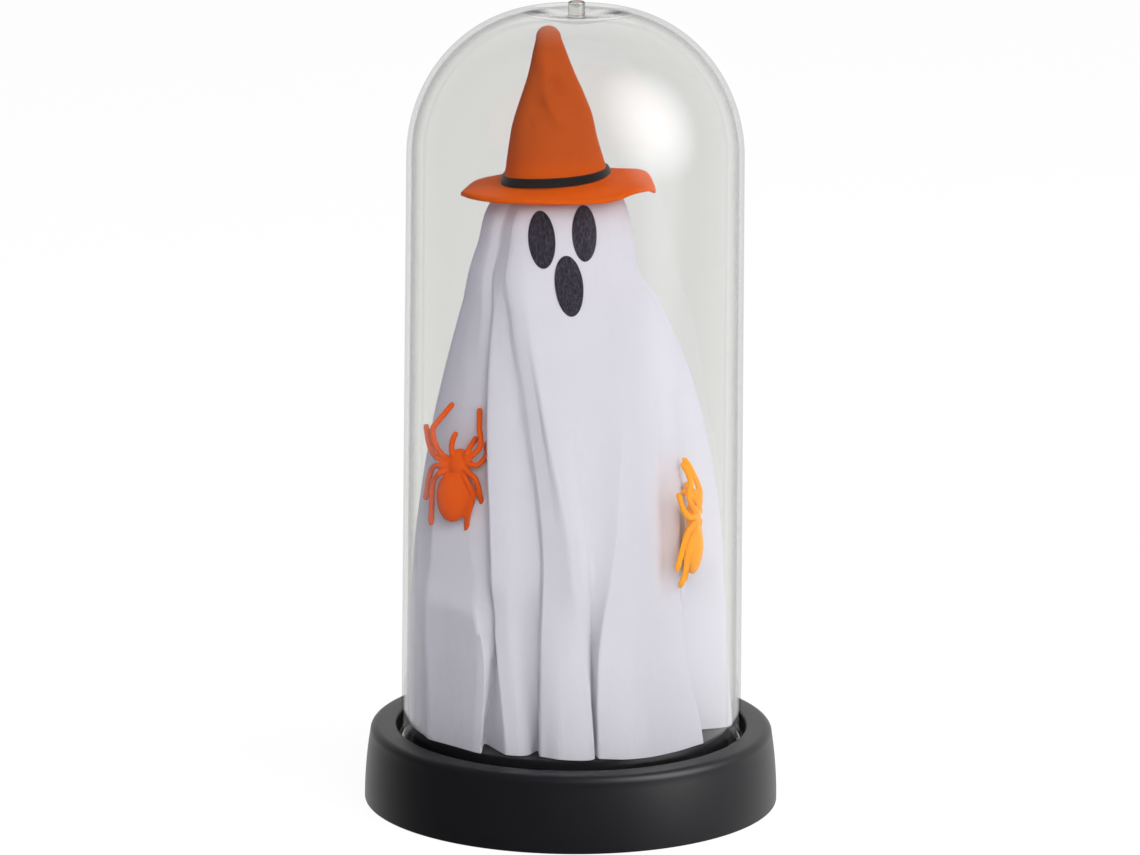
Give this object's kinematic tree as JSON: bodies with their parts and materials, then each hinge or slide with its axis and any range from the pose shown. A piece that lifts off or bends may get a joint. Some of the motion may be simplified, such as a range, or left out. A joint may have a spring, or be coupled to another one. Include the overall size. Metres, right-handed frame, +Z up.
{
  "type": "ghost cloche decoration",
  "caption": "Cloth ghost in a witch's hat with plastic spiders, under a clear domed cover that lifts off a round battery base with a slide switch and a battery door.",
  "frame": {"origin": "centre of the base's underside, on the surface that the decoration stands on", "axes": "+Z up along the dome's axis; the ghost faces -Y, so +X is to the right in the picture"},
  "size_m": [0.1148, 0.1146, 0.2242],
  "materials": {
    "base_plastic": "satin moulded black",
    "cover_plastic": "fine textured black",
    "steel": "bright plated",
    "cell_sleeve": "glossy plain sleeve",
    "board_laminate": "solder mask",
    "lamp_lens": "cast clear resin",
    "red_insulation": "soft insulation",
    "black_insulation": "soft insulation",
    "post_plastic": "moulded white",
    "foam": "bead foam",
    "cloth": "thin woven white",
    "felt": "black glinting weave",
    "spider_deep": "moulded deep orange",
    "spider_bright": "moulded yellow orange",
    "hat_vinyl": "dull moulded orange",
    "ribbon": "black satin",
    "clear_plastic": "clear blow-moulded"
  },
  "bodies": {
    "root": {"base_housing": "base_plastic", "bottom_cover": "cover_plastic", "cover_screw_1": "steel", "cover_screw_2": "steel", "cover_screw_3": "steel", "cover_screw_4": "steel", "board_screw_1": "steel", "board_screw_2": "steel", "post_screw": "steel", "battery_1": "cell_sleeve", "battery_2": "cell_sleeve", "battery_3": "cell_sleeve", "contact_spring_1": "steel", "contact_spring_2": "steel", "contact_spring_3": "steel", "contact_plate_1": "steel", "contact_plate_2": "steel", "contact_plate_3": "steel", "contact_plate_4": "steel", "switch_body": "cover_plastic", "led_board": "board_laminate", "led": "lamp_lens", "wire_battery_plus": "red_insulation", "wire_battery_minus": "black_insulation", "wire_switch_board": "red_insulation", "support_post": "post_plastic", "head_ball": "foam", "ghost_cloth": "cloth", "eye_left": "felt", "eye_right": "felt", "mouth": "felt", "spider_left": "spider_deep", "spider_right": "spider_bright", "hat_body": "hat_vinyl", "hat_band": "ribbon"},
    "dome": {"dome": "clear_plastic"},
    "battery_door": {"battery_door": "cover_plastic"},
    "switch_slider": {"switch_slider": "cover_plastic"}
  },
  "joints": [
    {"name": "dome_lift", "type": "slide", "parent": "root", "child": "dome", "axis": [0, 0, 1], "range_m": [0, 0.21]},
    {"name": "battery_door_hinge", "type": "hinge", "parent": "root", "child": "battery_door", "pos_m": [0, -0.01765, 0.0008], "axis": [-1, 0, 0], "range_deg": [0, 60]},
    {"name": "switch_slide", "type": "slide", "parent": "root", "child": "switch_slider", "axis": [1, 0, 0], "range_m": [0, 0.0024]}
  ]
}
